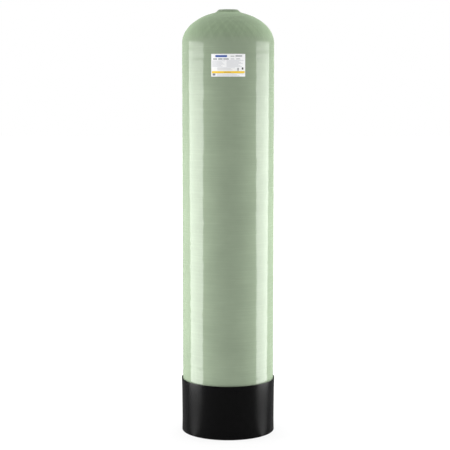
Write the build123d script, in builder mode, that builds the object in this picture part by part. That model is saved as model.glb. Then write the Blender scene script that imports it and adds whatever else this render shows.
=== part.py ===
from build123d import *
import os
from math import acos, degrees, sin, sqrt

# Filter tank: a wound glass fibre pressure vessel with a plastic liner inside,
# a threaded neck on top and a moulded boot that it stands in.
# Millimetres, +Z up, the label faces -Y.
# The origin is on the floor, under the middle of the vessel.

# Vessel outline
vessel_diameter = 364.0
overall_height = 1680.0
dome_rise = 124.5
neck_stand = 6.6
floor_gap = 15.5

# Wound wall, thicker towards both poles, where all the strands cross
hoop_wall = 2.8
pole_build_up = 3.2
strand_end = 1.0

# Neck of the winding, against the collar of the fitting
neck_reveal = 4.4
neck_fairing = 14.4

# Bottom pole of the winding, round the boss of the liner
pole_stand = 2.0
pole_fairing = 14.0

# Liner, closed by a boss at the bottom
liner_wall = 3.4
bond_gap = 0.2
sleeve_depth = 6.6
boss_radius = 18.0
boss_reveal = 3.0
boss_chamfer = 1.5
centre_radius = 4.0
centre_depth = 5.0

# Inlet fitting: a collar with the female thread, and a flange under the winding
thread_radius = 34.6
collar_wall = 7.0
collar_bevel = 4.2
entry_chamfer = 1.4
fitting_height = 34.0
exit_chamfer = 1.0
flange_width = 16.4
flange_rim = 2.2
key_count = 12
key_radius = 4.0

# Boot: skirt with a waist, a flare up to its rim and a bevel inside its mouth,
# foot, seat ring, saddle and ribs
boot_height = 214.0
boot_clearance = 0.3
shoulder_wall = 3.3
flare_height = 48.0
flare_out = 1.4
flare_round = 1500.0
rim_round = 0.8
mouth_bevel = 3.2
mouth_depth = 7.0
mouth_round = 0.8
waist_height = 45.0
waist_inset = 1.1
waist_wall = 2.7
waist_round = 800.0
foot_flare = 1.1
foot_round = 1.2
foot_root_round = 3.0
foot_thickness = 5.0
foot_width = 12.0
foot_edge_round = 1.2
seat_ring_radius = 84.0
seat_ring_wall = 4.0
saddle_radius = 130.0
saddle_wall = 4.0
rib_count = 16
rib_thickness = 4.0
rib_lift = 3.0
rib_root = 1.8

# Adhesive pads between the saddle and the bottom dome
pad_count = 8
pad_thickness = 1.0
pad_clearance = 0.1
pad_angle = 26.0
pad_inset = 12.0
pad_width = 24.0

# Label
label_width = 132.2
label_height = 86.0
label_drop = 88.0
label_thickness = 0.25
label_corner = 1.5
paste_gap = 0.05

# Radii and levels of the vessel that follow from the sizes above
vessel_radius = vessel_diameter / 2
top_tangent = overall_height - neck_stand - dome_rise
bottom_tangent = floor_gap + dome_rise
wall_inner_radius = vessel_radius - hoop_wall
wall_inner_rise = dome_rise - hoop_wall - pole_build_up
liner_radius = wall_inner_radius - bond_gap
liner_rise = wall_inner_rise - bond_gap
bore_radius = liner_radius - liner_wall
bore_rise = liner_rise - liner_wall

collar_radius = thread_radius + collar_wall
neck_hole_radius = collar_radius + bond_gap
winding_top = overall_height - neck_reveal
pole_hole_radius = boss_radius + bond_gap
winding_bottom = floor_gap - pole_stand
boss_bottom = winding_bottom - boss_reveal


def dome_height(radius, half_width, rise):
    """Height of an elliptical dome above its tangent plane, at a radius."""
    return rise * sqrt(1 - (radius / half_width) ** 2)


def dome_reach(height, half_width, rise):
    """Radius at which an elliptical dome has a height above its tangent plane."""
    return half_width * sqrt(1 - (height / rise) ** 2)


def dome_angle(radius, half_width):
    """Angle along the ellipse at which it passes a radius, from its widest point."""
    return degrees(acos(radius / half_width))


def top_dome(half_width, rise, inner, outer):
    """Arc of an upper dome, from an outer radius in to an inner one."""
    start = dome_angle(outer, half_width)
    turn = dome_angle(inner, half_width) - start
    return EllipticalCenterArc((0, top_tangent), half_width, rise, start, arc_size=turn)


def bottom_dome(half_width, rise, inner, outer):
    """Arc of a lower dome, from an outer radius in to an inner one."""
    start = -dome_angle(outer, half_width)
    turn = -dome_angle(inner, half_width) - start
    return EllipticalCenterArc((0, bottom_tangent), half_width, rise, start, arc_size=turn)


# The flange lies flush in a recess of the liner, so these levels follow its dome
flange_radius = collar_radius + flange_width
flange_seat = top_tangent + dome_height(flange_radius, liner_radius, liner_rise) - flange_rim
recess_radius = flange_radius + bond_gap
recess_floor = flange_seat - bond_gap
recess_underside = recess_floor - liner_wall
recess_reach = dome_reach(recess_underside - top_tangent, bore_radius, bore_rise)
sleeve_radius = neck_hole_radius + liner_wall
sleeve_end = recess_underside - sleeve_depth

os.makedirs("parts", exist_ok=True)

# Wound shell: one wall from pole to pole, faired up to the collar and down to the boss
with BuildPart() as wound_shell:
    with BuildSketch(Plane.XZ):
        with BuildLine():
            outer_top = top_dome(
                vessel_radius, dome_rise, collar_radius + neck_fairing, vessel_radius
            )
            neck_fair = TangentArc(
                outer_top @ 1,
                (neck_hole_radius + strand_end, winding_top),
                tangent=outer_top % 1,
            )
            inner_top = top_dome(
                wall_inner_radius, wall_inner_rise, neck_hole_radius, wall_inner_radius
            )
            Polyline(neck_fair @ 1, (neck_hole_radius, winding_top), inner_top @ 1)
            outer_bottom = bottom_dome(
                vessel_radius, dome_rise, boss_radius + pole_fairing, vessel_radius
            )
            pole_fair = TangentArc(
                outer_bottom @ 1,
                (pole_hole_radius + strand_end, winding_bottom),
                tangent=outer_bottom % 1,
            )
            inner_bottom = bottom_dome(
                wall_inner_radius, wall_inner_rise, pole_hole_radius, wall_inner_radius
            )
            Polyline(pole_fair @ 1, (pole_hole_radius, winding_bottom), inner_bottom @ 1)
            Line(outer_top @ 0, outer_bottom @ 0)
            Line(inner_top @ 0, inner_bottom @ 0)
        make_face()
    revolve(axis=Axis.Z)
wound_shell.part.label = "wound_shell"
export_step(wound_shell.part, "parts/wound_shell.step")

# Liner: closed at the bottom by a solid boss, turned down at the top into a sleeve
with BuildPart() as liner:
    with BuildSketch(Plane.XZ):
        with BuildLine():
            inside_top = top_dome(bore_radius, bore_rise, recess_reach, bore_radius)
            outside_top = top_dome(liner_radius, liner_rise, neck_hole_radius, liner_radius)
            Polyline(
                inside_top @ 1,
                (sleeve_radius, recess_underside),
                (sleeve_radius, sleeve_end),
                (neck_hole_radius, sleeve_end),
                outside_top @ 1,
            )
            inside_bottom = bottom_dome(bore_radius, bore_rise, boss_radius, bore_radius)
            outside_bottom = bottom_dome(liner_radius, liner_rise, boss_radius, liner_radius)
            Polyline(
                outside_bottom @ 1,
                (boss_radius, boss_bottom + boss_chamfer),
                (boss_radius - boss_chamfer, boss_bottom),
                (centre_radius, boss_bottom),
                (0, boss_bottom + centre_depth),
                (0, (inside_bottom @ 1).Y),
                inside_bottom @ 1,
            )
            Line(inside_top @ 0, inside_bottom @ 0)
            Line(outside_top @ 0, outside_bottom @ 0)
        make_face()
    revolve(axis=Axis.Z)
    # Recess for the flange of the fitting, with keys in its wall that stop it turning
    with BuildSketch(Plane.XY.offset(recess_floor)):
        Circle(recess_radius)
        with PolarLocations(flange_radius, key_count):
            Circle(key_radius - bond_gap, mode=Mode.SUBTRACT)
    extrude(amount=overall_height - recess_floor, mode=Mode.SUBTRACT)
liner.part.label = "liner"
export_step(liner.part, "parts/liner.step")

# Inlet fitting: collar and flange, with the flange notched for the keys
with BuildPart() as inlet_fitting:
    with BuildSketch(Plane.XZ):
        with BuildLine():
            flange_top = top_dome(liner_radius, liner_rise, collar_radius, flange_radius)
            Polyline(
                flange_top @ 0,
                (flange_radius, flange_seat),
                (collar_radius, flange_seat),
                (collar_radius, overall_height - fitting_height),
                (thread_radius, overall_height - fitting_height),
                (thread_radius, overall_height),
                (collar_radius, overall_height),
                flange_top @ 1,
            )
        make_face()
    revolve(axis=Axis.Z)
    rims = inlet_fitting.edges().filter_by(GeomType.CIRCLE).group_by(Axis.Z)
    entry_rim, outer_rim = rims[-1].sort_by(SortBy.RADIUS)
    chamfer(rims[0], length=exit_chamfer)
    chamfer(entry_rim, length=entry_chamfer)
    chamfer(outer_rim, length=collar_bevel)
    with BuildSketch(Plane.XY.offset(flange_seat)):
        with PolarLocations(flange_radius, key_count):
            Circle(key_radius)
    extrude(amount=overall_height - flange_seat, mode=Mode.SUBTRACT)
inlet_fitting.part.label = "inlet_fitting"
export_step(inlet_fitting.part, "parts/inlet_fitting.step")

# Radii of the boot, from the bore that fits over the vessel outwards
boot_bore_radius = vessel_radius + boot_clearance
shoulder_radius = boot_bore_radius + shoulder_wall
rim_radius = shoulder_radius + flare_out
mouth_radius = boot_bore_radius + mouth_bevel
waist_radius = shoulder_radius - waist_inset
waist_bore_radius = waist_radius - waist_wall
foot_radius = waist_radius + foot_flare
foot_bore_radius = foot_radius - foot_width
seat_gap = pad_thickness + 2 * pad_clearance
seat_ring_bore = seat_ring_radius - seat_ring_wall


def cradle(drop, inner, outer):
    """Arc that follows the bottom dome a distance below it, between two radii."""
    return bottom_dome(vessel_radius + drop, dome_rise + drop, inner, outer)


# One rib of the boot, from the seat ring out into the wall of the skirt
with BuildPart() as rib:
    with BuildSketch(Plane.XZ):
        with BuildLine():
            rib_top = cradle(
                seat_gap + saddle_wall / 2,
                seat_ring_radius - seat_ring_wall / 2,
                waist_bore_radius,
            )
            Polyline(
                rib_top @ 0,
                (waist_bore_radius + rib_root, (rib_top @ 0).Y),
                (waist_bore_radius + rib_root, rib_lift),
                ((rib_top @ 1).X, rib_lift),
                rib_top @ 1,
            )
        make_face()
    extrude(amount=rib_thickness / 2, both=True)

# Boot: skirt, then the seat ring with its saddle, then the ribs that tie them together
with BuildPart() as base_boot:
    with BuildSketch(Plane.XZ):
        with BuildLine():
            FilletPolyline(
                (foot_radius, 0),
                (waist_radius, waist_height),
                (shoulder_radius, boot_height - flare_height),
                (rim_radius, boot_height),
                (mouth_radius, boot_height),
                (boot_bore_radius, boot_height - mouth_depth),
                (boot_bore_radius, bottom_tangent),
                (waist_bore_radius, waist_height),
                (waist_bore_radius, foot_thickness),
                (foot_bore_radius, foot_thickness),
                (foot_bore_radius, 0),
                radius=[
                    foot_round,
                    waist_round,
                    flare_round,
                    rim_round,
                    mouth_round,
                    mouth_round,
                    waist_round,
                    waist_round,
                    foot_root_round,
                    foot_edge_round,
                    foot_edge_round,
                ],
                close=True,
            )
        make_face()
    revolve(axis=Axis.Z)
    with BuildSketch(Plane.XZ):
        with BuildLine():
            saddle_top = cradle(seat_gap, seat_ring_bore, saddle_radius)
            saddle_bottom = cradle(seat_gap + saddle_wall, seat_ring_radius, saddle_radius)
            Line(saddle_top @ 0, saddle_bottom @ 0)
            Polyline(
                saddle_bottom @ 1,
                (seat_ring_radius, 0),
                (seat_ring_bore, 0),
                saddle_top @ 1,
            )
        make_face()
    revolve(axis=Axis.Z)
    with PolarLocations(0, rib_count):
        add(rib.part)
base_boot.part.label = "base_boot"
export_step(base_boot.part, "parts/base_boot.step")

# One pad of adhesive, as thick as the room between the saddle and the dome allows
with BuildPart() as pad:
    with BuildSketch(Plane.XZ):
        with BuildLine():
            pad_start = seat_ring_bore + pad_inset
            pad_end = pad_start + pad_width
            pad_top = cradle(pad_clearance, pad_start, pad_end)
            pad_bottom = cradle(pad_clearance + pad_thickness, pad_start, pad_end)
            Line(pad_top @ 0, pad_bottom @ 0)
            Line(pad_top @ 1, pad_bottom @ 1)
        make_face()
    revolve(axis=Axis.Z, revolution_arc=pad_angle)

with BuildPart() as boot_adhesive:
    with PolarLocations(0, pad_count):
        add(pad.part)
boot_adhesive.part.label = "boot_adhesive"
export_step(boot_adhesive.part, "parts/boot_adhesive.step")

# Label: a rectangle cut out of a thin ring round the vessel, on its front
label_radius = vessel_radius + paste_gap
label_middle = top_tangent - label_drop
label_chord = 2 * label_radius * sin(label_width / label_radius / 2)
with BuildPart() as label:
    with BuildSketch(Plane.XY.offset(label_middle - label_height / 2)):
        Circle(label_radius + label_thickness)
        Circle(label_radius, mode=Mode.SUBTRACT)
    extrude(amount=label_height)
    with BuildSketch(Plane.XZ):
        with Locations((0, label_middle)):
            RectangleRounded(label_chord, label_height, label_corner)
    extrude(amount=vessel_diameter, mode=Mode.INTERSECT)
label.part.label = "label"
export_step(label.part, "parts/label.step")
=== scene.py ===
import math

import bmesh
import bpy
import numpy as np
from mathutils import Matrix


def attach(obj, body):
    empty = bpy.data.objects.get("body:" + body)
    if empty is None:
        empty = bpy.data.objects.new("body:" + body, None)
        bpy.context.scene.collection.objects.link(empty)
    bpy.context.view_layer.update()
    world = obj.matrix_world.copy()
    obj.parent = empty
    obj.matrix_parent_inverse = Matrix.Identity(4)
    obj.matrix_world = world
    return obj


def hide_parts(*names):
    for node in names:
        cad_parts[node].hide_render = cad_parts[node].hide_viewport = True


# Filter tank: a wound glass fibre vessel with a threaded neck, in a black moulded boot.
# Metres, +Z up, the label faces -Y. Turns round the axis are counted from the front.

# Outline of the vessel
VESSEL_RADIUS = 0.182
OVERALL_HEIGHT = 1.680
DOME_RISE = 0.1245
TOP_TANGENT = 1.5489
BOTTOM_TANGENT = 0.140
WALL_INNER_RADIUS = 0.1792
WALL_INNER_RISE = 0.1185
NECK_HOLE_RADIUS = 0.0418
NECK_LAND_RADIUS = 0.0428
NECK_FAIRING_RADIUS = 0.056
WINDING_TOP = 1.6756
POLE_HOLE_RADIUS = 0.0182
POLE_LAND_RADIUS = 0.0192
POLE_FAIRING_RADIUS = 0.032
WINDING_BOTTOM = 0.0135

# Edges up to this angle are shaded smooth
SMOOTH_UP_TO = math.radians(30)

# Winding. A strand turns back at its turn radius by the neck and at the land by the lower pole.
# In between, its radius goes from one to the other over a part of the way down.
SHELL_POINTS_ROUND = 192
STRAND_TURN_RADIUS = 0.078
STRAND_LEAST_REACH = 0.02
TURN_CHANGE = (0.2, 0.9)
FINE_STRANDS = 420.0
WIDE_STRANDS = 46.0
HOOP_STRETCH = (5.0, 5.0, 330.0)
HOOP_RUN_ON = 0.004
HOOP_FADE = 0.008
HOOP_SHARE = 0.8
BELOW_DOME = (TOP_TANGENT + 0.042, TOP_TANGENT + 0.002)
# Painted shade: the winding's colour darkens towards the neck between these two heights, down to
# this share
NEAR_NECK = (TOP_TANGENT + 0.060, TOP_TANGENT + 0.108)
PAINTED_SHADE_BY_NECK = 0.79
CLOUD_SHADES = (0.94, 1.05)
RESIN_ROUGHNESS = (0.30, 0.22)
RELIEF_DEPTH = 0.0008
RELIEF_FADE_IN = (0.01, 0.06)
# Lumps under the resin: share of the relief, how many round the vessel, length of one, seed
RELIEF_LUMPS = [
    (0.60, 18, 0.013, 11),
    (0.20, 26, 0.030, 12),
    (0.20, 9, 0.110, 13),
]

# Neck fitting
FITTING_POINTS_ROUND = 360
THREAD_CREST_RADIUS = 0.0346
THREAD_DEPTH = 0.0017
THREAD_PITCH = 0.003175
THREAD_FLAT = 0.0006
RINGS_PER_PITCH = 16
COLLAR_RADIUS = 0.0416
COLLAR_BEVEL = 0.0042
ENTRY_CHAMFER = 0.0014
EXIT_CHAMFER = 0.0010
FITTING_HEIGHT = 0.034
FLANGE_RADIUS = 0.058
FLANGE_RIM = 0.0022
KEY_COUNT = 12
KEY_RADIUS = 0.004
LINER_RADIUS = 0.179
LINER_RISE = 0.1183

# Label
LABEL_WIDTH = 0.1322
LABEL_HEIGHT = 0.0860
LABEL_MIDDLE = 1.4609
LABEL_BACK = 0.18205
LABEL_FILM = 0.00025
LABEL_CORNER = 0.0015
CORNER_ACROSS = LABEL_CORNER / LABEL_WIDTH
CORNER_DOWN = LABEL_CORNER / LABEL_HEIGHT
LABEL_CORNER_POINTS = 6
LABEL_FACETS = 32
LEAST_SPLIT = 1e-4
# Fields as shares of the width from the left and of the height from the top:
# left, right, top, bottom, ink
LABEL_FIELDS = [
    (0.125, 0.465, 0.055, 0.145, "blue"),
    (0.565, 0.680, 0.085, 0.125, "grey"),
    (0.710, 0.905, 0.055, 0.130, "grey"),
    (0.055, 0.175, 0.205, 0.250, "dark"),
    (0.210, 0.335, 0.205, 0.250, "dark"),
    (0.360, 0.515, 0.205, 0.250, "dark"),
    (0.570, 0.675, 0.210, 0.240, "grey"),
    (0.730, 0.850, 0.205, 0.240, "grey"),
    (0.018, 0.983, 0.760, 0.850, "yellow"),
    (0.385, 0.575, 0.790, 0.825, "amber"),
    (0.040, 0.125, 0.862, 0.955, "dark"),
    (0.760, 0.812, 0.610, 0.740, "grey"),
    (0.895, 0.945, 0.595, 0.690, "black"),
]
# Blocks of thin rows: left, right, top, bottom, step from row to row
LABEL_BLOCKS = [
    (0.030, 0.410, 0.300, 0.540, 0.047),
    (0.450, 0.950, 0.275, 0.590, 0.045),
    (0.180, 0.700, 0.605, 0.730, 0.045),
    (0.165, 0.950, 0.868, 0.970, 0.042),
]
ROW_THICKNESS = 0.42
ROW_STEP = 5
ROW_CYCLE = 7
LONGEST_INDENT = 0.35
LABEL_INKS = {
    "white": (0.89, 0.893, 0.898),
    "blue": (0.01, 0.07, 0.36),
    "dark": (0.20, 0.21, 0.23),
    "grey": (0.42, 0.43, 0.45),
    "pale": (0.55, 0.56, 0.59),
    "yellow": (0.90, 0.60, 0.004),
    "amber": (0.55, 0.33, 0.02),
    "black": (0.012, 0.012, 0.012),
}
INK_COVER = 0.94
FILM_WHITE = 0.8
FILM_ROUGHNESS = (0.30, 0.36)

# Values between which a noise takes a finish from one end to the other
NOISE_RANGE = (0.3, 0.7)
BARREL_RANGE = (0.34, 0.66)
DOME_RANGE = (0.425, 0.575)
MOTTLE_RANGE = (0.35, 0.75)

# Darker and paler tone of each finish
BARREL_TONES = ((0.236, 0.289, 0.206), (0.268, 0.329, 0.235))
# The dome's tones are partly its own yellower green and partly painted light: paler than the
# barrel's, to brighten the dome
DOME_TONES_WITH_PAINTED_LIGHT = ((0.234, 0.305, 0.199), (0.282, 0.366, 0.240))
FITTING_TONES = ((0.30, 0.375, 0.27), (0.33, 0.405, 0.30))
BOOT_TONES = ((0.0042, 0.0042, 0.0044), (0.0048, 0.0048, 0.0050))
LINER_TONES = ((0.72, 0.75, 0.69), (0.78, 0.80, 0.74))
ADHESIVE_TONES = ((0.50, 0.38, 0.18), (0.62, 0.50, 0.28))
SHEEN_TINT = (0.76, 1.0, 0.66, 1)
GLOSS_CHANGE = 0.01

# Camera, fitted to the outline in the photograph
CAMERA_PLACE = (-0.01234, -5.180, 1.3857)
CAMERA_PITCH = 6.125
FOCAL_PIXELS = 1303.9
FRAME_PIXELS = 450
SENSOR_WIDTH = 36.0

# Studio. Brightness 1 is white; a turn is how far a direction points up, or to the rear.
LIGHT_AROUND = 0.05
LIGHT_BEHIND = 1.7
REAR_TURN = (0.0, 0.7)
LIGHT_ABOVE = 1.0
UPWARD_TURN = (0.0, 0.5)
ROOM_IN_FRONT = 0.02
ROOM_BEHIND = 0.13
ROOM_TURN = (0.0, 0.8)
BACKDROP_EDGE = (0.980, 0.985)

# Soft boxes. Their light dims to the head's share between two levels, and ends between two more.
SOFT_BOX_LIGHT = 4.6
SOFT_BOX_HEAD_SHARE = 0.77
SOFT_BOX_DIMS = (1.22, 1.50)
SOFT_BOX_ENDS = (1.65, 1.52)
SOFT_BOX_SIDE = 0.85
SOFT_BOX_SPAN = (0.035, 1.66)
# y of the front and the rear edge, at the foot and at the head
LEFT_BOX_EDGES = ((-0.470, 0.140), (-0.512, 0.237))
RIGHT_BOX_EDGES = ((-0.313, 0.266), (-0.370, 0.387))

# Floor. A slant is how far behind the boot's front a point lies, over how far beside the boot.
# What is named after the right side is added there and taken off on the left.
FLOOR_SIZE = 30.0
FLOOR_DROP = 0.0004
# Painted light: for glossy rays the floor glows in a sector beside the boot, where the soft boxes
# would light it, and shows a dim room elsewhere
BOOT_SIDE = 0.138
BOOT_FRONT = 0.125
LEAST_ASIDE = 0.01
RIGHT_SLANT = -0.06
RIGHT_GAIN = 0.1
LIT_FROM_SLANT = (-0.52, -0.05)
LIT_TO_SLANT = (0.60, 0.16)
LIT_REACH = (0.15, 0.80)
LIT_FLOOR = 0.58
LIT_FAR_FLOOR = 0.26
ROOM_SLANT = (0.3, 1.3)
# White that the camera sees from near the vessel to far off
WHITE_REACH = (0.5, 0.8)
WHITE_NEAR = 0.77
WHITE_FAR = 0.97
FLOOR_PAINT = (0.8, 0.8, 0.8, 1)
FLOOR_PAINT_SEEN = (0.15, 0.15, 0.15, 1)
BLACK = (0, 0, 0, 1)
WHITE = (1, 1, 1, 1)

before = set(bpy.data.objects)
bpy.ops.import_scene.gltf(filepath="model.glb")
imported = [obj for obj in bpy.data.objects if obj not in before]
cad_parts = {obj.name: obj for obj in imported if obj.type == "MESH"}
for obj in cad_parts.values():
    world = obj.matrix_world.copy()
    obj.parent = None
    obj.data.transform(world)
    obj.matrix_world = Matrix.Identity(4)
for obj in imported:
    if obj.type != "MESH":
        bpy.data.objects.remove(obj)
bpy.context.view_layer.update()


# Profiles

def tangent_arc(start, direction, end, steps):
    """Points of the arc that leaves start along direction and ends at end."""
    start, end = np.array(start), np.array(end)
    direction = np.array(direction) / np.linalg.norm(direction)
    chord = end - start
    normal = np.array((-direction[1], direction[0]))
    offset = chord @ chord / (2 * chord @ normal)
    centre = start + offset * normal
    first = start - centre
    last = end - centre
    turn = math.atan2(first[0] * last[1] - first[1] * last[0], first @ last)
    angles = np.linspace(0, turn, steps)
    return [
        (
            centre[0] + first[0] * math.cos(a) - first[1] * math.sin(a),
            centre[1] + first[0] * math.sin(a) + first[1] * math.cos(a),
        )
        for a in angles
    ]


def dome_points(half_width, rise, tangent_level, outer, inner, steps):
    """Points along an elliptical dome from one radius to another; a negative rise hangs down."""
    angles = np.linspace(math.acos(outer / half_width), math.acos(inner / half_width), steps)
    return [(half_width * math.cos(a), tangent_level + rise * math.sin(a)) for a in angles]


def dome_slope(half_width, rise, radius):
    """Direction along a dome towards its pole, at a radius."""
    angle = math.acos(radius / half_width)
    return (-half_width * math.sin(angle), rise * math.cos(angle))


def straight(start, end, steps):
    """Points along a straight line, without its first point."""
    return [
        (start[0] + (end[0] - start[0]) * t, start[1] + (end[1] - start[1]) * t)
        for t in np.linspace(0, 1, steps + 1)[1:]
    ]


def smooth_step(value, low, high):
    """0 below low, 1 above high and smooth between them."""
    t = np.clip((value - low) / (high - low), 0, 1)
    return t * t * (3 - 2 * t)


# Meshes

def turned_mesh(name, radii, heights, drift=None):
    """Closed mesh from rings of points round the axis, each ring a row of the two arrays."""
    rings, around = radii.shape
    turn = np.arange(around) / around * 2 * math.pi
    points = np.stack([radii * np.sin(turn), -radii * np.cos(turn), heights], axis=2)
    ring, step = np.meshgrid(np.arange(rings), np.arange(around), indexing="ij")
    next_ring, next_step = (ring + 1) % rings, (step + 1) % around
    corners = [(ring, step), (next_ring, step), (next_ring, next_step), (ring, next_step)]
    faces = np.stack([r * around + s for r, s in corners], axis=2).reshape(-1, 4)
    mesh = bpy.data.meshes.new(name)
    mesh.from_pydata(points.reshape(-1, 3), [], faces)
    if drift is not None:
        lay = mesh.uv_layers.new(name="winding")
        turns = np.stack([step, step, step + 1, step + 1], axis=2) / around
        along = np.stack([drift[r] for r, _ in corners], axis=2)
        lay.data.foreach_set("uv", np.stack([turns, along], axis=3).ravel())
    mesh.update()
    return mesh


def built_mesh(name, build):
    """Mesh of what has been built."""
    mesh = bpy.data.meshes.new(name)
    build.to_mesh(mesh)
    build.free()
    return mesh


def add_object(name, data):
    """Object in the scene for a mesh or a camera."""
    added = bpy.data.objects.new(name, data)
    bpy.context.scene.collection.objects.link(added)
    return added


def new_piece(mesh, material):
    """Object for a finished mesh that rides on the vessel."""
    piece = add_object(mesh.name, mesh)
    mesh.shade_smooth()
    mesh.set_sharp_from_angle(angle=SMOOTH_UP_TO)
    if material is not None:
        mesh.materials.append(material)
    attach(piece, "root")
    return piece


def ripples(turns, lengths, cells_round, cell_length, seed):
    """Smooth random heights from -1 to 1 over rings of points, without a seam round the axis."""
    draw = np.random.default_rng(seed)
    cells_along = int(math.ceil(lengths.max() / cell_length)) + 2
    grid = draw.uniform(-1, 1, (cells_along, cells_round))
    x = turns * cells_round
    y = lengths / cell_length
    column, row = np.floor(x).astype(int), np.floor(y).astype(int)
    across, up = smooth_step(x - column, 0, 1), smooth_step(y - row, 0, 1)
    left, right = column % cells_round, (column + 1) % cells_round
    below = grid[row[:, None], left] * (1 - across) + grid[row[:, None], right] * across
    above = grid[row[:, None] + 1, left] * (1 - across) + grid[row[:, None] + 1, right] * across
    return below * (1 - up[:, None]) + above * up[:, None]


# Shader helpers

def feed(tree, node, values):
    """Sets or links a node's inputs by name or number."""
    for socket, value in values.items():
        if isinstance(value, bpy.types.NodeSocket):
            tree.links.new(value, node.inputs[socket])
        else:
            node.inputs[socket].default_value = value


def place(tree, kind, values=None, **settings):
    """Adds a shader node with its settings, and feeds its inputs."""
    node = tree.nodes.new(kind)
    for name, value in settings.items():
        setattr(node, name, value)
    feed(tree, node, values or {})
    return node


def calculate(tree, operation, *terms):
    """Result of a math node."""
    node = place(tree, "ShaderNodeMath", dict(enumerate(terms)), operation=operation)
    return node.outputs[0]


def fade(tree, value, low, high, start=0.0, end=1.0):
    """Value mapped from low and high to start and end."""
    inputs = {"Value": value, "From Min": low, "From Max": high, "To Min": start, "To Max": end}
    return place(tree, "ShaderNodeMapRange", inputs).outputs["Result"]


def blend_colours(tree, amount, first, second, blend_type="MIX"):
    """Colour between two colours or sockets."""
    node = place(
        tree, "ShaderNodeMix", {0: amount, 6: first, 7: second},
        data_type="RGBA", blend_type=blend_type,
    )
    return node.outputs[2]


def blend_tones(tree, amount, tones):
    """Colour between the two tones of a finish."""
    darker, paler = tones
    return blend_colours(tree, amount, (*darker, 1), (*paler, 1))


def new_group(name, inputs, outputs):
    """Shader node group with named number, vector or colour sockets."""
    group = bpy.data.node_groups.new(name, "ShaderNodeTree")
    for label, kind, value in inputs:
        socket = group.interface.new_socket(name=label, in_out="INPUT", socket_type=kind)
        if value is not None:
            socket.default_value = value
    for label, kind in outputs:
        group.interface.new_socket(name=label, in_out="OUTPUT", socket_type=kind)
    return group, place(group, "NodeGroupInput"), place(group, "NodeGroupOutput")


def use_group(tree, group, values):
    """Places a shader group in a material, and gives its outputs."""
    return place(tree, "ShaderNodeGroup", values, node_tree=group).outputs


def empty_material(name):
    """Material with an empty node tree."""
    material = bpy.data.materials.new(name)
    material.use_nodes = True
    tree = material.node_tree
    tree.nodes.clear()
    return material, tree


def new_material(name):
    """Material with a Principled shader and an output."""
    material, tree = empty_material(name)
    shader = place(tree, "ShaderNodeBsdfPrincipled")
    place(tree, "ShaderNodeOutputMaterial", {"Surface": shader.outputs[0]})
    return material, tree, shader


def bumped(tree, height, strength, distance):
    """Normal of a surface that a height raises."""
    bump = place(
        tree, "ShaderNodeBump", {"Height": height, "Strength": strength, "Distance": distance})
    return bump.outputs["Normal"]


# Shader groups

def grain_group():
    """Moulded surface: fine grain over slow unevenness."""
    group, given, made = new_group(
        "moulded_grain",
        [("Point", "NodeSocketVector", None), ("Grain Scale", "NodeSocketFloat", 1200.0),
         ("Flow Scale", "NodeSocketFloat", 9.0)],
        [("Height", "NodeSocketFloat"), ("Flow", "NodeSocketFloat")],
    )
    point = given.outputs["Point"]
    grain = place(group, "ShaderNodeTexNoise", {
        "Vector": point, "Scale": given.outputs["Grain Scale"], "Detail": 2.0})
    flow = place(group, "ShaderNodeTexNoise", {
        "Vector": point, "Scale": given.outputs["Flow Scale"], "Detail": 3.0})
    feed(group, made, {"Height": grain.outputs[0], "Flow": flow.outputs[0]})
    return group


def strand_group():
    """Strands laid along lines that each keep one turn value, without a seam."""
    group, given, made = new_group(
        "laid_strands",
        [("Turn", "NodeSocketFloat", 0.0), ("Strands", "NodeSocketFloat", 200.0),
         ("Layer", "NodeSocketFloat", 0.0)],
        [("Value", "NodeSocketFloat")],
    )
    angle = calculate(group, "MULTIPLY", given.outputs["Turn"], 2 * math.pi)
    reach = calculate(group, "DIVIDE", given.outputs["Strands"], 2 * math.pi)
    spot = place(group, "ShaderNodeCombineXYZ", {
        "X": calculate(group, "MULTIPLY", calculate(group, "COSINE", angle), reach),
        "Y": calculate(group, "MULTIPLY", calculate(group, "SINE", angle), reach),
        "Z": given.outputs["Layer"],
    })
    noise = place(group, "ShaderNodeTexNoise", {
        "Vector": spot.outputs[0], "Scale": 1.0, "Detail": 2.0, "Roughness": 0.6})
    feed(group, made, {"Value": noise.outputs[0]})
    return group


# Materials

def crossing_helices(tree, strands):
    """Mean of the strands that cross as they rise and fall, fine ones and wide ones."""
    lay = place(tree, "ShaderNodeUVMap", uv_map="winding").outputs["UV"]
    lay = place(tree, "ShaderNodeSeparateXYZ", {0: lay})
    turn, drift = lay.outputs["X"], lay.outputs["Y"]
    rising = calculate(tree, "ADD", turn, drift)
    falling = calculate(tree, "SUBTRACT", turn, drift)
    fine_up, fine_down, wide_up, wide_down = [
        use_group(tree, strands, {"Turn": way, "Strands": count, "Layer": layer})[0]
        for way, count, layer in [
            (rising, FINE_STRANDS, 3.0), (falling, FINE_STRANDS, 8.0),
            (rising, WIDE_STRANDS, 21.0), (falling, WIDE_STRANDS, 34.0)]
    ]
    fine = calculate(tree, "ADD", fine_up, fine_down)
    wide = calculate(tree, "ADD", wide_up, wide_down)
    return calculate(tree, "MULTIPLY", calculate(tree, "ADD", wide, fine), 0.25)


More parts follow.
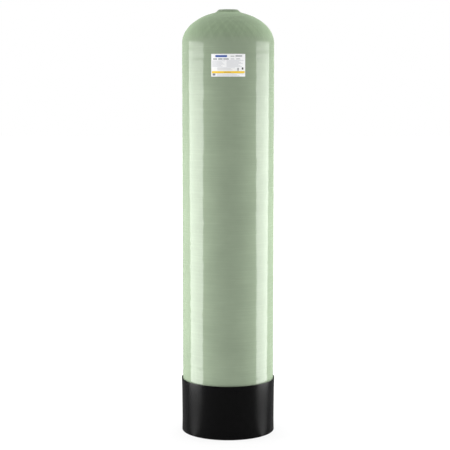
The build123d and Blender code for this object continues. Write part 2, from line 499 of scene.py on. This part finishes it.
def hooped_barrel(tree, point, height, helices):
    """Hoops laid over the helices on the barrel, and helices alone on the domes."""
    stretch = place(tree, "ShaderNodeMapping", {"Vector": point, "Scale": HOOP_STRETCH})
    hoops = place(tree, "ShaderNodeTexNoise", {
        "Vector": stretch.outputs[0], "Scale": 1.0, "Detail": 4.0, "Roughness": 0.65})
    covered = calculate(
        tree, "MULTIPLY",
        fade(tree, height, TOP_TANGENT + HOOP_RUN_ON, TOP_TANGENT - HOOP_FADE),
        fade(tree, height, BOTTOM_TANGENT - HOOP_RUN_ON, BOTTOM_TANGENT + HOOP_FADE))
    hoop_share = calculate(tree, "MULTIPLY", covered, HOOP_SHARE)
    return calculate(
        tree, "ADD",
        calculate(tree, "MULTIPLY", hoops.outputs[0], hoop_share),
        calculate(tree, "MULTIPLY", helices, calculate(tree, "SUBTRACT", 1.0, hoop_share)))


def wound_glass_fibre(strands):
    """Green-grey resin over wound strands: hoops on the barrel, crossing helices on the domes."""
    material, tree, shader = new_material("wound_glass_fibre")
    point = place(tree, "ShaderNodeTexCoord").outputs["Object"]
    height = place(tree, "ShaderNodeSeparateXYZ", {0: point}).outputs["Z"]
    helices = crossing_helices(tree, strands)
    strands_seen = hooped_barrel(tree, point, height, helices)

    barrel = blend_tones(tree, fade(tree, strands_seen, *BARREL_RANGE), BARREL_TONES)
    # On the dome: its own yellower green, made paler by painted light
    dome = blend_tones(tree, fade(tree, helices, *DOME_RANGE), DOME_TONES_WITH_PAINTED_LIGHT)
    colour = blend_colours(tree, fade(tree, height, *BELOW_DOME), dome, barrel)
    clouds = place(tree, "ShaderNodeTexNoise", {
        "Vector": point, "Scale": 7.0, "Detail": 3.0, "Roughness": 0.55})
    # Random cloudy tone, times a painted shade that darkens the dome towards the neck
    shade = calculate(
        tree, "MULTIPLY", fade(tree, clouds.outputs[0], *NOISE_RANGE, *CLOUD_SHADES),
        fade(tree, height, *NEAR_NECK, 1.0, PAINTED_SHADE_BY_NECK))
    tint = place(tree, "ShaderNodeCombineColor", {0: shade, 1: shade, 2: shade})
    colour = blend_colours(tree, 1.0, colour, tint.outputs[0], "MULTIPLY")
    feed(tree, shader, {
        "Base Color": colour,
        "Roughness": fade(tree, strands_seen, *NOISE_RANGE, *RESIN_ROUGHNESS),
        "Normal": bumped(tree, strands_seen, strength=0.22, distance=0.0004),
        "Specular IOR Level": 0.08,
        "Sheen Weight": 0.5,
        "Sheen Roughness": 0.46,
        "Sheen Tint": SHEEN_TINT,
        "Coat Weight": 0.55,
        "Coat Roughness": 0.05,
        "Coat IOR": 1.8,
    })
    return material


def moulded_plastic(name, grain, tones, roughness, grain_scale, bump):
    """Moulded plastic with a fine grain and a slight unevenness in tone and gloss."""
    material, tree, shader = new_material(name)
    point = place(tree, "ShaderNodeTexCoord").outputs["Object"]
    surface = use_group(tree, grain, {"Point": point, "Grain Scale": grain_scale})
    flow = fade(tree, surface["Flow"], *NOISE_RANGE)
    feed(tree, shader, {
        "Base Color": blend_tones(tree, flow, tones),
        "Roughness": fade(
            tree, flow, 0.0, 1.0, roughness + GLOSS_CHANGE, roughness - GLOSS_CHANGE),
        "Normal": bumped(tree, surface["Height"], bump, distance=0.0001),
    })
    return material


def printed_film(name, grain, ink):
    """Printed label film, half glossy, with the slight mottle of ink on film."""
    material, tree, shader = new_material(name)
    point = place(tree, "ShaderNodeTexCoord").outputs["Object"]
    surface = use_group(tree, grain, {"Point": point, "Grain Scale": 2500.0, "Flow Scale": 60.0})
    thin = tuple(INK_COVER * part + (1 - INK_COVER) * FILM_WHITE for part in ink)
    mottle = fade(tree, surface["Height"], *MOTTLE_RANGE)
    feed(tree, shader, {
        "Base Color": blend_tones(tree, mottle, (ink, thin)),
        "Roughness": fade(tree, surface["Flow"], *NOISE_RANGE, *FILM_ROUGHNESS),
    })
    return material


# Wound wall

def shell_profile():
    """Rings of the wound wall, the outer side down and the inner side back up.

    Also gives how many of them are on the outer side.
    """
    dome_start = dome_points(
        VESSEL_RADIUS, DOME_RISE, TOP_TANGENT, VESSEL_RADIUS, NECK_FAIRING_RADIUS, steps=56)
    slope = dome_slope(VESSEL_RADIUS, DOME_RISE, NECK_FAIRING_RADIUS)
    neck = tangent_arc(dome_start[-1], slope, (NECK_LAND_RADIUS, WINDING_TOP), steps=10)
    base_dome = dome_points(
        VESSEL_RADIUS, -DOME_RISE, BOTTOM_TANGENT, VESSEL_RADIUS, POLE_FAIRING_RADIUS, steps=40)
    slope = dome_slope(VESSEL_RADIUS, -DOME_RISE, POLE_FAIRING_RADIUS)
    pole = tangent_arc(base_dome[-1], slope, (POLE_LAND_RADIUS, WINDING_BOTTOM), steps=8)
    barrel = straight((VESSEL_RADIUS, TOP_TANGENT), (VESSEL_RADIUS, BOTTOM_TANGENT), steps=270)
    outer = neck[::-1] + dome_start[-2::-1] + barrel + base_dome[1:] + pole[1:]
    inner_top = dome_points(
        WALL_INNER_RADIUS, WALL_INNER_RISE, TOP_TANGENT, WALL_INNER_RADIUS,
        NECK_HOLE_RADIUS, steps=20)
    inner_base = dome_points(
        WALL_INNER_RADIUS, -WALL_INNER_RISE, BOTTOM_TANGENT, WALL_INNER_RADIUS,
        POLE_HOLE_RADIUS, steps=20)
    inner = [(POLE_HOLE_RADIUS, WINDING_BOTTOM)] + inner_base[::-1]
    inner += straight(inner_base[0], inner_top[0], steps=6) + inner_top[1:]
    inner += [(NECK_HOLE_RADIUS, WINDING_TOP)]
    return outer + inner, len(outer)


def helix_drift(radii, lengths):
    """Turns by which a strand has run round the vessel, by its length down the profile."""
    start, end = TURN_CHANGE
    share = smooth_step(lengths, start * lengths[-1], end * lengths[-1])
    pole = STRAND_TURN_RADIUS * (1 - share) + POLE_LAND_RADIUS * share
    reach = np.sqrt(np.maximum(radii**2 - pole**2, STRAND_LEAST_REACH**2))
    rate = pole / (radii * reach) / (2 * math.pi)
    steps = np.diff(lengths)
    return np.concatenate([[0], np.cumsum((rate[1:] + rate[:-1]) / 2 * steps)])


def winding_relief(lengths):
    """How far each point of the outer side lies below the highest lump of the winding."""
    turns = np.arange(SHELL_POINTS_ROUND) / SHELL_POINTS_ROUND
    relief = sum(
        share * ripples(turns, lengths, count, length, seed)
        for share, count, length, seed in RELIEF_LUMPS)
    depth = RELIEF_DEPTH * smooth_step(lengths, *RELIEF_FADE_IN)
    return (relief - relief.max()) * depth[:, None]


def wound_shell(material):
    """Wound wall with the low lumps and bands that the winding leaves under its resin."""
    profile, outer = shell_profile()
    radius = np.array([r for r, _ in profile])
    level = np.array([z for _, z in profile])
    lengths = np.concatenate([[0], np.cumsum(np.hypot(np.diff(radius), np.diff(level)))])
    drift = np.zeros(len(profile))
    drift[:outer] = helix_drift(radius[:outer], lengths[:outer])
    sunk = winding_relief(lengths[:outer])
    along = np.gradient(np.stack([radius[:outer], level[:outer]]), axis=1)
    along /= np.linalg.norm(along, axis=0)
    radii = np.repeat(radius[:, None], SHELL_POINTS_ROUND, axis=1)
    heights = np.repeat(level[:, None], SHELL_POINTS_ROUND, axis=1)
    radii[:outer] += sunk * -along[1][:, None]
    heights[:outer] += sunk * along[0][:, None]
    piece = new_piece(
        turned_mesh("wound_shell_resin", radii, heights, drift), material)
    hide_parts("wound_shell")


# Neck fitting

def thread_radius(turns, heights, top, bottom):
    """Radius of the thread's surface: flat crests and roots with 60 degree flanks."""
    flank = (THREAD_PITCH - 2 * THREAD_FLAT) / 2
    phase = (heights[:, None] / THREAD_PITCH - turns[None, :]) % 1 * THREAD_PITCH
    away = np.abs(phase - THREAD_PITCH / 2)
    cut = np.clip((flank + THREAD_FLAT / 2 - away) / flank, 0, 1)
    runout = smooth_step(heights, bottom, bottom + THREAD_PITCH)
    runout *= smooth_step(-heights, -top, THREAD_FLAT - top)
    return THREAD_CREST_RADIUS + THREAD_DEPTH * cut * runout[:, None]


def inlet_fitting(material):
    """Collar with its female thread, and the notched flange under the winding."""
    turns = np.arange(FITTING_POINTS_ROUND) / FITTING_POINTS_ROUND
    top, bottom = OVERALL_HEIGHT, OVERALL_HEIGHT - FITTING_HEIGHT
    thread_top, thread_bottom = top - ENTRY_CHAMFER, bottom + EXIT_CHAMFER
    rim = TOP_TANGENT + LINER_RISE * math.sqrt(1 - (FLANGE_RADIUS / LINER_RADIUS) ** 2)
    seat = rim - FLANGE_RIM
    dome = dome_points(
        LINER_RADIUS, LINER_RISE, TOP_TANGENT, FLANGE_RADIUS, COLLAR_RADIUS, steps=8)
    outline = [
        (THREAD_CREST_RADIUS + EXIT_CHAMFER, bottom),
        (COLLAR_RADIUS, bottom),
        (COLLAR_RADIUS, seat),
        (FLANGE_RADIUS, seat),
        *dome,
        (COLLAR_RADIUS, top - COLLAR_BEVEL),
        (COLLAR_RADIUS - COLLAR_BEVEL, top),
        (THREAD_CREST_RADIUS + ENTRY_CHAMFER, top),
    ]
    thread_levels = np.arange(thread_top, thread_bottom, -THREAD_PITCH / RINGS_PER_PITCH)
    heights = np.array([z for _, z in outline] + list(thread_levels) + [thread_bottom])
    radii = np.zeros((len(heights), FITTING_POINTS_ROUND))
    radii[:len(outline)] = np.array([r for r, _ in outline])[:, None]
    radii[len(outline):] = thread_radius(
        turns, heights[len(outline):], thread_top, thread_bottom)
    from_key = (turns * KEY_COUNT + 0.5) % 1 - 0.5
    across = np.abs(from_key) / KEY_COUNT * 2 * math.pi * FLANGE_RADIUS
    notch = FLANGE_RADIUS - np.sqrt(np.maximum(KEY_RADIUS**2 - across**2, 0))
    for ring, (radius, level) in enumerate(outline):
        if level < rim + KEY_RADIUS and radius > COLLAR_RADIUS:
            radii[ring] = np.minimum(radii[ring], notch)
    heights = np.repeat(heights[:, None], FITTING_POINTS_ROUND, axis=1)
    piece = new_piece(
        turned_mesh("inlet_fitting_threaded", radii[::-1], heights[::-1]),
        material)
    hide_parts("inlet_fitting")


# Label

def label_rows():
    """Thin rows that fill the blocks, as plain lines of uneven length."""
    rows = []
    for left, right, top, bottom, pitch in LABEL_BLOCKS:
        for row, share in enumerate(np.arange(top, bottom, pitch)):
            short = (row * ROW_STEP % ROW_CYCLE) / ROW_CYCLE * LONGEST_INDENT * (right - left)
            rows.append((left, right - short, share, share + ROW_THICKNESS * pitch, "pale"))
    return rows


def without_slivers(splits):
    """Splits in order, without those that follow another too closely."""
    splits = np.array(sorted(splits))
    return splits[np.concatenate([[True], np.diff(splits) > LEAST_SPLIT])]


def label_splits(fields):
    """Where the film is divided, so that each field has faces of its own."""
    columns = {0.0, CORNER_ACROSS, 1 - CORNER_ACROSS, 1.0}
    columns |= set(np.linspace(0.0, 1.0, LABEL_FACETS + 1))
    lines = {0.0, CORNER_DOWN, 1 - CORNER_DOWN, 1.0}
    for left, right, top, bottom, _ in fields:
        columns |= {left, right}
        lines |= {top, bottom}
    return without_slivers(columns), without_slivers(lines)


def label_cell(left, right, top, bottom):
    """Outline of one cell of the film, rounded where the cell is a corner of the film."""
    at_side = 0.0 if left == 0.0 else 1.0 if right == 1.0 else None
    at_end = 0.0 if top == 0.0 else 1.0 if bottom == 1.0 else None
    if at_side is None or at_end is None:
        return [(left, bottom), (right, bottom), (right, top), (left, top)]
    hub_x = CORNER_ACROSS if at_side == 0.0 else 1 - CORNER_ACROSS
    hub_y = CORNER_DOWN if at_end == 0.0 else 1 - CORNER_DOWN
    reach_x, reach_y = at_side - hub_x, at_end - hub_y
    arc = [
        (hub_x + reach_x * math.cos(a), hub_y + reach_y * math.sin(a))
        for a in np.linspace(0, math.pi / 2, LABEL_CORNER_POINTS)
    ]
    outline = [(hub_x, hub_y)] + arc
    return outline[::-1] if (at_side == 0.0) == (at_end == 0.0) else outline


def film_point(x, y):
    """Point on the film's back, from its shares of the width and the height."""
    angle = (x - 0.5) * LABEL_WIDTH / LABEL_BACK
    return (
        LABEL_BACK * math.sin(angle), -LABEL_BACK * math.cos(angle),
        LABEL_MIDDLE + (0.5 - y) * LABEL_HEIGHT)


def ink_at(x, y, fields):
    """Ink of the last field that holds a point, or white."""
    ink = "white"
    for left, right, top, bottom, field_ink in fields:
        if left < x < right and top < y < bottom:
            ink = field_ink
    return ink


def thicken_film(build):
    """Raises the film from its back, straight away from the axis."""
    raised = bmesh.ops.extrude_face_region(build, geom=build.faces[:])
    stretch = (LABEL_BACK + LABEL_FILM) / LABEL_BACK
    for part in raised["geom"]:
        if isinstance(part, bmesh.types.BMVert):
            part.co.x *= stretch
            part.co.y *= stretch
    bmesh.ops.recalc_face_normals(build, faces=build.faces[:])


def label(grain):
    """Label film wrapped on the barrel, its print made of plain fields in the film."""
    fields = LABEL_FIELDS + label_rows()
    columns, lines = label_splits(fields)
    inks = list(LABEL_INKS)
    build = bmesh.new()
    points = {}
    for left, right in zip(columns, columns[1:]):
        for top, bottom in zip(lines, lines[1:]):
            outline = []
            for x, y in label_cell(left, right, top, bottom):
                key = (round(x, 6), round(y, 6))
                if key not in points:
                    points[key] = build.verts.new(film_point(x, y))
                outline.append(points[key])
            ink = ink_at((left + right) / 2, (top + bottom) / 2, fields)
            build.faces.new(outline).material_index = inks.index(ink)
    build.normal_update()
    thicken_film(build)
    mesh = built_mesh("label_printed", build)
    for ink in inks:
        mesh.materials.append(printed_film("label_" + ink, grain, LABEL_INKS[ink]))
    piece = new_piece(mesh, None)
    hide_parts("label")


# Nodes that keep the shape of the frame

def repaint(node, material):
    """Gives a node of the frame its finish."""
    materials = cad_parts[node].data.materials
    materials.clear()
    materials.append(material)


# Studio

def gloss_rays(tree, ray):
    """1 for rays that a glossy or clear surface sends out, otherwise 0."""
    return calculate(tree, "MAXIMUM", ray["Is Glossy Ray"], ray["Is Transmission Ray"])


def surroundings(tree, direction):
    """Brightness in a direction, as gloss shows it: a dim room with a white backdrop behind."""
    depth = place(tree, "ShaderNodeSeparateXYZ", {0: direction}).outputs["Y"]
    room = fade(tree, depth, *ROOM_TURN, ROOM_IN_FRONT, ROOM_BEHIND)
    return calculate(tree, "MAXIMUM", room, fade(tree, depth, *BACKDROP_EDGE))


def studio_world():
    """White backdrop, and soft light from above and behind."""
    world = bpy.data.worlds.new("studio")
    bpy.context.scene.world = world
    world.use_nodes = True
    world.cycles.sampling_method = "NONE"
    tree = world.node_tree
    tree.nodes.clear()
    ray = place(tree, "ShaderNodeLightPath").outputs
    direction = place(tree, "ShaderNodeTexCoord").outputs["Generated"]
    seen_in_gloss = gloss_rays(tree, ray)
    mirrored = calculate(tree, "MULTIPLY", surroundings(tree, direction), seen_in_gloss)
    part = place(tree, "ShaderNodeSeparateXYZ", {0: direction}).outputs
    soft = calculate(
        tree, "ADD", fade(tree, part["Y"], *REAR_TURN, LIGHT_AROUND, LIGHT_BEHIND),
        fade(tree, part["Z"], *UPWARD_TURN, 0.0, LIGHT_ABOVE))
    shown = calculate(tree, "MAXIMUM", seen_in_gloss, ray["Is Camera Ray"])
    soft = calculate(tree, "MULTIPLY", soft, calculate(tree, "SUBTRACT", 1.0, shown))
    strength = calculate(
        tree, "MAXIMUM", calculate(tree, "ADD", mirrored, soft), ray["Is Camera Ray"])
    light = place(tree, "ShaderNodeBackground", {"Color": WHITE, "Strength": strength})
    place(tree, "ShaderNodeOutputWorld", {"Surface": light.outputs[0]})


def painted_floor_light_in_gloss(tree, point):
    """Painted light on the floor as gloss shows it: it glows beside the vessel as if the soft
    boxes lit it, over a dim room.
    """
    part = place(tree, "ShaderNodeSeparateXYZ", {0: point}).outputs
    right = calculate(tree, "SIGN", part["X"])
    aside = calculate(tree, "SUBTRACT", calculate(tree, "ABSOLUTE", part["X"]), BOOT_SIDE)
    slant = calculate(
        tree, "DIVIDE", calculate(tree, "ADD", part["Y"], BOOT_FRONT),
        calculate(tree, "MAXIMUM", aside, LEAST_ASIDE))
    slant = calculate(tree, "MULTIPLY_ADD", right, RIGHT_SLANT, slant)
    lit = calculate(
        tree, "MULTIPLY", fade(tree, slant, *LIT_FROM_SLANT), fade(tree, slant, *LIT_TO_SLANT))
    lit = calculate(
        tree, "MULTIPLY", lit, calculate(tree, "MULTIPLY_ADD", right, RIGHT_GAIN, 1.0))
    lit = calculate(
        tree, "MULTIPLY", lit, fade(tree, aside, *LIT_REACH, LIT_FLOOR, LIT_FAR_FLOOR))
    direction = place(tree, "ShaderNodeVectorMath", {0: point}, operation="NORMALIZE").outputs[0]
    room = fade(tree, slant, *ROOM_SLANT, ROOM_IN_FRONT, ROOM_BEHIND)
    room = calculate(tree, "MAXIMUM", room, surroundings(tree, direction))
    return calculate(tree, "ADD", lit, room)


def floor_finish():
    """White floor that keeps the vessel's shadow, and stays white for the camera elsewhere."""
    material, tree = empty_material("studio_floor")
    ray = place(tree, "ShaderNodeLightPath").outputs
    point = place(tree, "ShaderNodeTexCoord").outputs["Object"]
    seen_in_gloss = gloss_rays(tree, ray)
    # Painted light: for glossy rays the floor glows as if the soft boxes lit it beside the vessel
    glow = calculate(tree, "MULTIPLY", painted_floor_light_in_gloss(tree, point), seen_in_gloss)
    distance = place(
        tree, "ShaderNodeVectorMath", {0: point}, operation="LENGTH").outputs["Value"]
    white = fade(tree, distance, *WHITE_REACH, WHITE_NEAR, WHITE_FAR)
    glow = calculate(tree, "MULTIPLY_ADD", ray["Is Camera Ray"], white, glow)
    paint = blend_colours(tree, ray["Is Camera Ray"], FLOOR_PAINT, FLOOR_PAINT_SEEN)
    paint = blend_colours(tree, seen_in_gloss, paint, BLACK)
    matte = place(tree, "ShaderNodeBsdfDiffuse", {"Color": paint})
    glowing = place(tree, "ShaderNodeEmission", {"Strength": glow})
    both = place(tree, "ShaderNodeAddShader", {0: matte.outputs[0], 1: glowing.outputs[0]})
    place(tree, "ShaderNodeOutputMaterial", {"Surface": both.outputs[0]})
    return material


def studio_floor():
    """Wide floor just below the boot's foot."""
    build = bmesh.new()
    bmesh.ops.create_grid(build, x_segments=8, y_segments=8, size=FLOOR_SIZE)
    mesh = built_mesh("studio_floor", build)
    mesh.materials.append(floor_finish())
    floor = add_object("studio_floor", mesh)
    floor.location.z = -FLOOR_DROP


def soft_box_glow():
    """Even white light of a soft box on its front, less bright towards its head."""
    material, tree = empty_material("soft_box")
    point = place(tree, "ShaderNodeTexCoord").outputs["Object"]
    height = place(tree, "ShaderNodeSeparateXYZ", {0: point}).outputs["Z"]
    head_light = SOFT_BOX_HEAD_SHARE * SOFT_BOX_LIGHT
    glow = fade(tree, height, *SOFT_BOX_DIMS, SOFT_BOX_LIGHT, head_light)
    glow = calculate(tree, "MULTIPLY", glow, fade(tree, height, *SOFT_BOX_ENDS))
    back = place(tree, "ShaderNodeNewGeometry").outputs["Backfacing"]
    glow = calculate(tree, "MULTIPLY", glow, calculate(tree, "SUBTRACT", 1.0, back))
    shining = place(tree, "ShaderNodeEmission", {"Strength": glow})
    place(tree, "ShaderNodeOutputMaterial", {"Surface": shining.outputs[0]})
    return material


def soft_box(name, side, edges, glow):
    """Upright soft box at x = side that shines towards the vessel and that no camera sees."""
    foot, head = SOFT_BOX_SPAN
    foot_edges, head_edges = edges
    corners = [
        (side, foot_edges[0], foot), (side, foot_edges[1], foot),
        (side, head_edges[1], head), (side, head_edges[0], head),
    ]
    mesh = bpy.data.meshes.new(name)
    mesh.from_pydata(corners, [], [(0, 1, 2, 3) if side < 0 else (3, 2, 1, 0)])
    mesh.materials.append(glow)
    box = add_object(name, mesh)
    box.visible_camera = False


def studio_lamps():
    """One tall soft box on each side of the vessel."""
    glow = soft_box_glow()
    soft_box("left_soft_box", -SOFT_BOX_SIDE, LEFT_BOX_EDGES, glow)
    soft_box("right_soft_box", SOFT_BOX_SIDE, RIGHT_BOX_EDGES, glow)


def camera():
    """Camera at the photograph's place and angle."""
    data = bpy.data.cameras.new("camera")
    data.sensor_width = SENSOR_WIDTH
    data.lens = SENSOR_WIDTH * FOCAL_PIXELS / FRAME_PIXELS
    holder = add_object("camera", data)
    holder.location = CAMERA_PLACE
    holder.rotation_euler = (math.radians(90 - CAMERA_PITCH), 0, 0)
    bpy.context.scene.camera = holder


def main():
    """Makes the pieces that differ from the frame, finishes the others and sets the studio."""
    grain = grain_group()
    strands = strand_group()
    wound_shell(wound_glass_fibre(strands))
    inlet_fitting(moulded_plastic(
        "fitting_plastic", grain, FITTING_TONES, roughness=0.34, grain_scale=1600.0, bump=0.2))
    label(grain)
    repaint("base_boot", moulded_plastic(
        "boot_plastic", grain, BOOT_TONES, roughness=0.21, grain_scale=1300.0, bump=0.03))
    repaint("liner", moulded_plastic(
        "liner_plastic", grain, LINER_TONES, roughness=0.45, grain_scale=700.0, bump=0.3))
    repaint("boot_adhesive", moulded_plastic(
        "adhesive", grain, ADHESIVE_TONES, roughness=0.35, grain_scale=400.0, bump=0.5))
    studio_floor()
    studio_world()
    studio_lamps()
    camera()
    bpy.context.scene.view_settings.view_transform = "Standard"


main()
